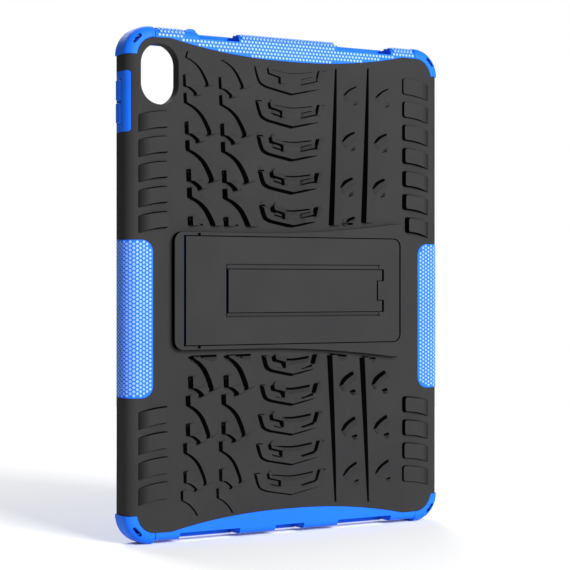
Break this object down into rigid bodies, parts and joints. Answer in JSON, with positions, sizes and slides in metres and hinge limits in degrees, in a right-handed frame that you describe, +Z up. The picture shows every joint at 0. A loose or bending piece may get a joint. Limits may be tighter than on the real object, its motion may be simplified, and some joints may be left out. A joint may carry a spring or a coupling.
{
  "type": "tablet case",
  "caption": "Rugged two-layer tablet case: soft sleeve with corner bumpers, hard tyre-tread back shell, and a folding kickstand with a prop leg.",
  "frame": {"origin": "under the middle of the case's width and depth, on the surface that its lower corner bumpers stand on", "axes": "+X to the right as the back is seen, +Y from the back towards the tablet's screen, +Z up along the case's height"},
  "size_m": [0.1904, 0.0186, 0.26],
  "materials": {
    "shell_black": "moulded polycarbonate with a fine matt texture",
    "kickstand_black": "moulded polycarbonate with a fine matt texture",
    "sleeve_blue": "moulded TPU, satin, with honeycomb dimples on the grips and top band",
    "bumper_blue": "moulded TPU, satin and smooth",
    "pin_steel": "drawn steel pin"
  },
  "bodies": {
    "case": {"outer_shell": "shell_black", "inner_sleeve": "sleeve_blue", "corner_bumper_top_left": "bumper_blue", "corner_bumper_top_right": "bumper_blue", "corner_bumper_bottom_left": "bumper_blue", "corner_bumper_bottom_right": "bumper_blue"},
    "kickstand": {"kickstand_plate": "kickstand_black", "kickstand_pins": "pin_steel", "prop_pin": "pin_steel"},
    "prop": {"prop_leg": "kickstand_black"},
    "volume_up": {"volume_up_cover": "bumper_blue"},
    "volume_down": {"volume_down_cover": "bumper_blue"}
  },
  "joints": [
    {"name": "kickstand_hinge", "type": "hinge", "parent": "case", "child": "kickstand", "pos_m": [-0.0561, -0.0079, 0.1271], "axis": [0, 0, -1], "range_deg": [0, 50]},
    {"name": "prop_hinge", "type": "hinge", "parent": "kickstand", "child": "prop", "pos_m": [0.0533, -0.0081, 0.127], "axis": [0, 0, -1], "range_deg": [0, 15]},
    {"name": "volume_up_press", "type": "slide", "parent": "case", "child": "volume_up", "axis": [1, 0, 0], "range_m": [0, 0.0005], "stiffness_N_per_m": 2000},
    {"name": "volume_down_press", "type": "slide", "parent": "case", "child": "volume_down", "axis": [1, 0, 0], "range_m": [0, 0.0005], "stiffness_N_per_m": 2000}
  ],
  "couplings": [
    {"joint": "prop_hinge", "follows": "kickstand_hinge", "ratio": 0.3}
  ]
}
